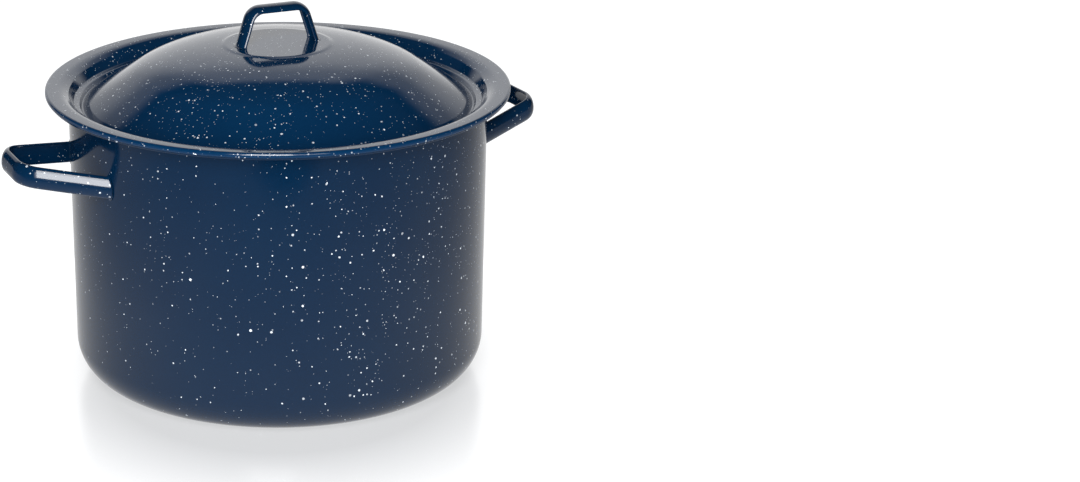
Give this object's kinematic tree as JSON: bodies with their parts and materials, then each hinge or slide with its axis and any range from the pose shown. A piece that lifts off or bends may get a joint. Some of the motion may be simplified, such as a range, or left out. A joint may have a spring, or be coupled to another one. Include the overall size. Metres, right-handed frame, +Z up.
{
  "type": "water bath canner",
  "caption": "Round enamelled stockpot with strap side handles, a lift-off stepped dome lid and a lift-out wire jar rack with swinging handles.",
  "frame": {"origin": "centre of the pot's flat base, on the surface it stands on", "axes": "+Z up along the pot's axis; the two side handles lie along +X and -X, 2.5 degrees round towards +Y; the lid handle runs along X"},
  "size_m": [0.4544, 0.3726, 0.3061],
  "materials": {
    "pot_enamel": "glossy navy enamel with white speckles",
    "handle_enamel": "glossy navy enamel with white speckles",
    "lid_enamel": "glossy navy enamel with white speckles",
    "rack_wire": "bright plated steel wire"
  },
  "bodies": {
    "pot": {"pot_shell": "pot_enamel", "side_handle_left": "handle_enamel", "side_handle_right": "handle_enamel"},
    "lid": {"lid_shell": "lid_enamel", "lid_handle": "handle_enamel"},
    "rack": {"rack_base_ring_outer": "rack_wire", "rack_base_ring_middle": "rack_wire", "rack_base_ring_inner": "rack_wire", "rack_hoop_low": "rack_wire", "rack_hoop_high": "rack_wire", "rack_hoop_inner": "rack_wire", "rack_spoke_1": "rack_wire", "rack_spoke_2": "rack_wire", "rack_spoke_3": "rack_wire", "rack_spoke_4": "rack_wire", "rack_spoke_5": "rack_wire", "rack_spoke_6": "rack_wire", "rack_divider_1": "rack_wire", "rack_divider_2": "rack_wire", "rack_divider_3": "rack_wire", "rack_divider_4": "rack_wire", "rack_divider_5": "rack_wire", "rack_divider_6": "rack_wire"},
    "left_rack_handle": {"rack_handle_left": "rack_wire"},
    "right_rack_handle": {"rack_handle_right": "rack_wire"}
  },
  "joints": [
    {"name": "rack_lift", "type": "slide", "parent": "pot", "child": "rack", "axis": [0, 0, 1], "range_m": [0, 0.26]},
    {"name": "lid_lift", "type": "slide", "parent": "rack", "child": "lid", "axis": [0, 0, 1], "range_m": [0, 0.15]},
    {"name": "left_handle_swing", "type": "hinge", "parent": "rack", "child": "left_rack_handle", "pos_m": [-0.14219, 0, 0.084], "axis": [0, -1, 0], "range_deg": [0, 80]},
    {"name": "right_handle_swing", "type": "hinge", "parent": "rack", "child": "right_rack_handle", "pos_m": [0.14219, 0, 0.084], "axis": [0, 1, 0], "range_deg": [0, 80]}
  ]
}
